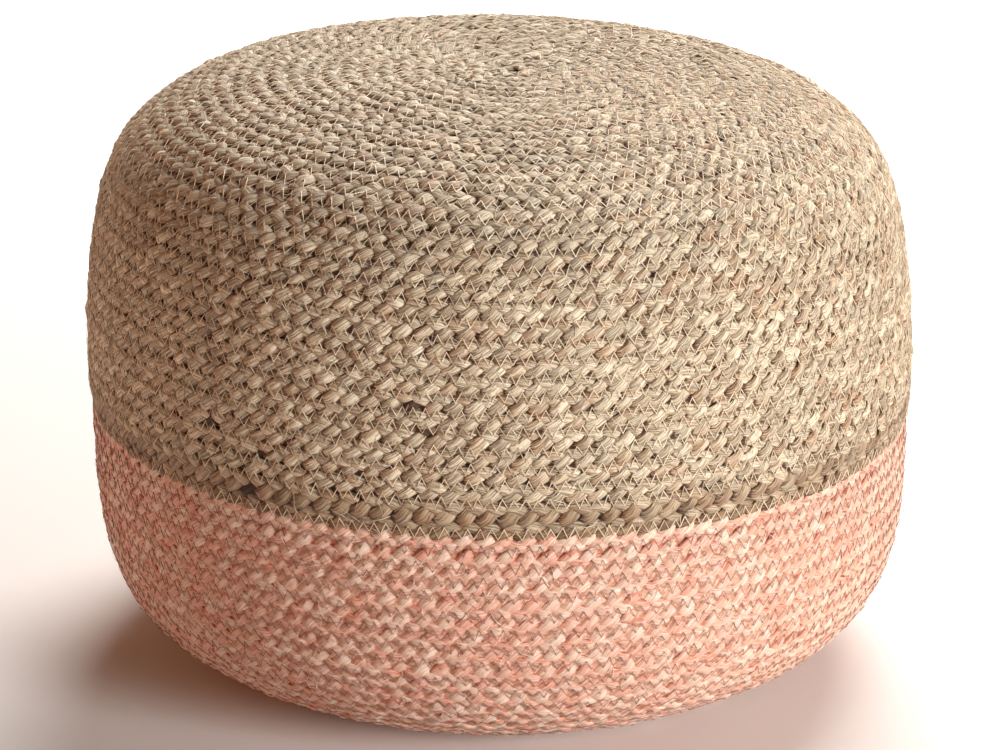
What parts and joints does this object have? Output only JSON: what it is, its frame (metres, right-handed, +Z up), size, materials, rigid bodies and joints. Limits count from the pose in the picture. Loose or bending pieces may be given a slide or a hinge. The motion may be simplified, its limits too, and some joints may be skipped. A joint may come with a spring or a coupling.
{
  "type": "jute pouf",
  "caption": "Round stuffed floor pouf of coiled braid, natural above and coral below, with a low crown and a flat base, used as a seat or footrest.",
  "frame": {"origin": "centre of the bounding box's base, on the surface that the pouf stands on", "axes": "+Z up through the crown, -Y towards the picture's viewer, +X to the viewer's right"},
  "size_m": [0.5018, 0.5004, 0.3662],
  "materials": {
    "natural_jute": "undyed jute braid with sheen on the strands and loose fibres, sewn with cream thread",
    "coral_jute": "coral-dyed jute braid, paler where the dye has not taken, with loose fibres"
  },
  "bodies": {
    "root": {"natural_bowl": "natural_jute", "coral_bowl": "coral_jute"}
  },
  "joints": []
}
